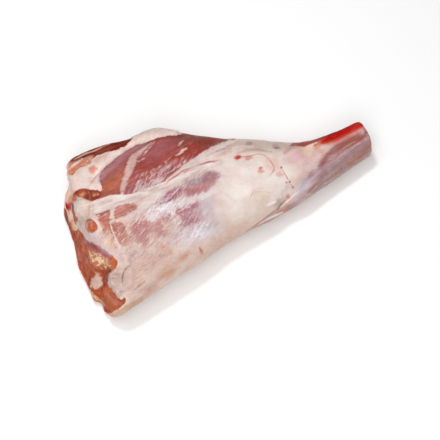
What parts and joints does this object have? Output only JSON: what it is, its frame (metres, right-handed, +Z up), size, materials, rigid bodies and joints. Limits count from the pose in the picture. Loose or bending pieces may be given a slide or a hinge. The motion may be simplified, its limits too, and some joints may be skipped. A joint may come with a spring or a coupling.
{
  "type": "raw leg of lamb",
  "caption": "Raw leg of lamb with the bone in and the shank on: a broad cut hip end of red muscle and pale fat, tapering to a sawn shank. It lies on its outer side with the inner face up.",
  "frame": {"origin": "middle of the part's box in X and Y, on the table at Z = 0", "axes": "+X from the cut hip end to the sawn shank, +Y to the thigh's front edge, +Z up; the outer side of the leg lies on the table"},
  "size_m": [0.3942, 0.2146, 0.0889],
  "materials": {
    "meat": "wet raw lamb: pale pink fat and membrane over red muscle",
    "bone": "sawn raw bone with red marrow"
  },
  "bodies": {
    "root": {"leg_meat": "meat", "shank_bone": "bone", "hip_bone": "bone"}
  },
  "joints": []
}
